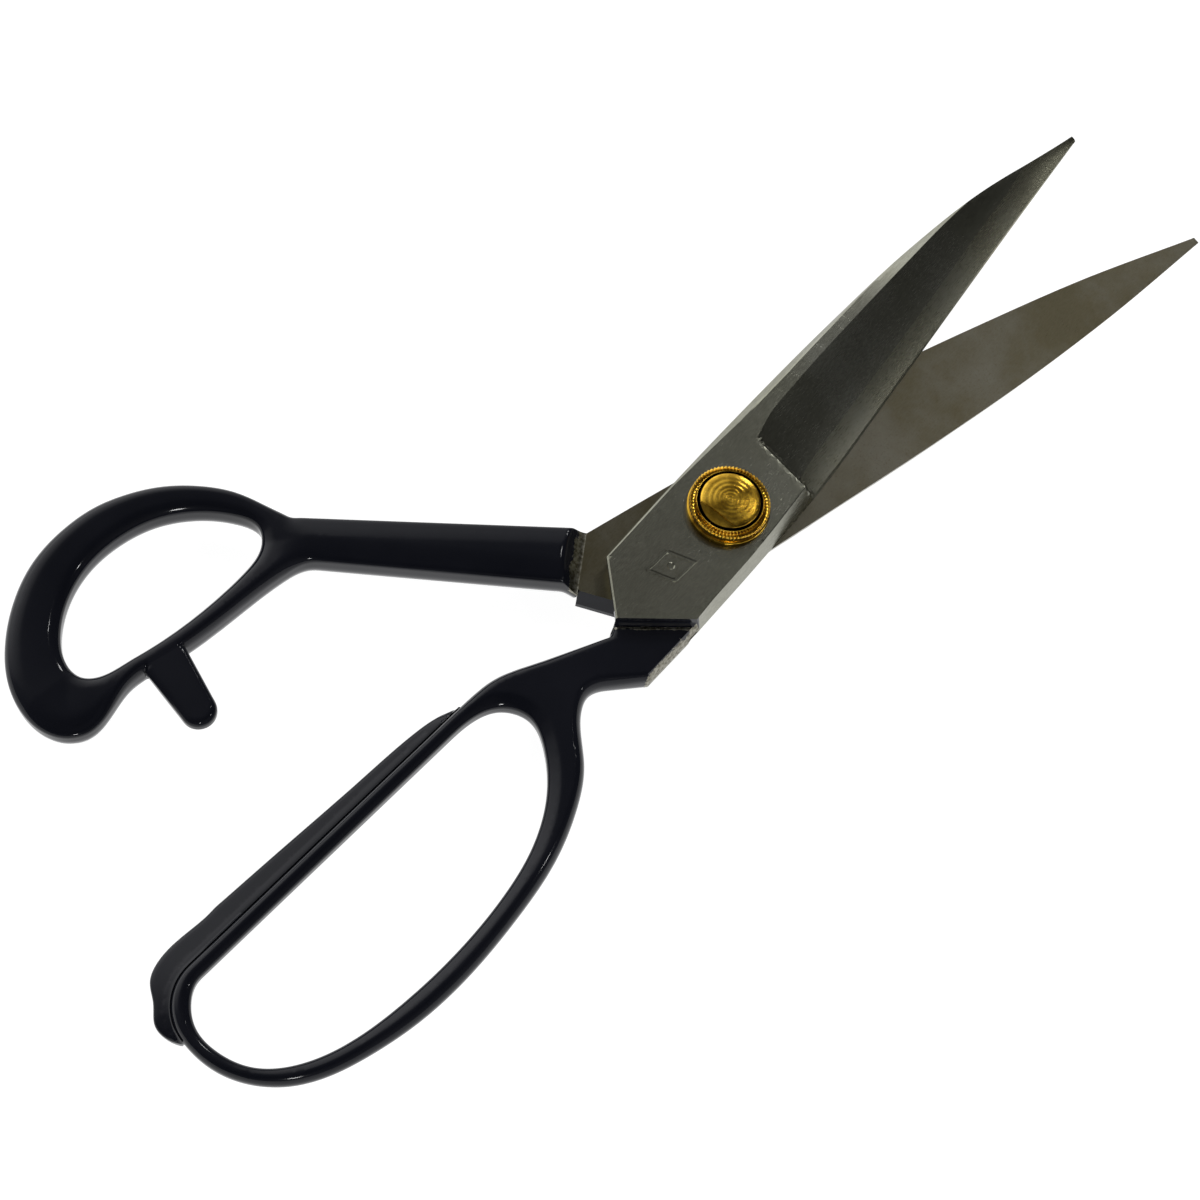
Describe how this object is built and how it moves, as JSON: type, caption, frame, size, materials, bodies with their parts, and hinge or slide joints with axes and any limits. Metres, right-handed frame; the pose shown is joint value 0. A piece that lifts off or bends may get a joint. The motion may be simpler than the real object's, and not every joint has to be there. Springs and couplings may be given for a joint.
{
  "type": "fabric shears",
  "caption": "Tailor's fabric shears with two forged blades, a large finger bow, a round thumb bow with a stop peg, and a brass pivot bolt with an adjusting nut.",
  "frame": {"origin": "on the pivot axis, at the flat back face of the pivot bolt's head", "axes": "+Z along the pivot, out through the adjusting nut; +X from the pivot to the tip of the upper blade"},
  "size_m": [0.2529, 0.121, 0.0158],
  "materials": {
    "blade_steel": "ground, satin",
    "cutting_steel": "fine ground",
    "enamel": "glossy black enamel",
    "brass": "turned, bright"
  },
  "bodies": {
    "upper_half": {"upper_blade": "blade_steel", "upper_cutting_plate": "cutting_steel", "upper_handle": "enamel"},
    "lower_half": {"lower_blade": "blade_steel", "lower_cutting_plate": "cutting_steel", "lower_handle": "enamel", "pivot_bolt": "brass"},
    "nut_washer": {"nut_washer": "brass"},
    "adjusting_nut": {"adjusting_nut": "brass"}
  },
  "joints": [
    {"name": "blade_pivot", "type": "hinge", "parent": "upper_half", "child": "lower_half", "pos_m": [0, 0, 0], "axis": [0, 0, 1], "range_deg": [-60, 16.2]},
    {"name": "washer_lift", "type": "slide", "parent": "lower_half", "child": "nut_washer", "axis": [0, 0, 1], "range_m": [0, 0.0005]},
    {"name": "nut_turn", "type": "hinge", "parent": "nut_washer", "child": "adjusting_nut", "pos_m": [0, 0, 0], "axis": [0, 0, 1], "range_deg": [0, 180]}
  ],
  "couplings": [
    {"joint": "nut_turn", "follows": "washer_lift", "rad_per_m": 6283.2}
  ]
}
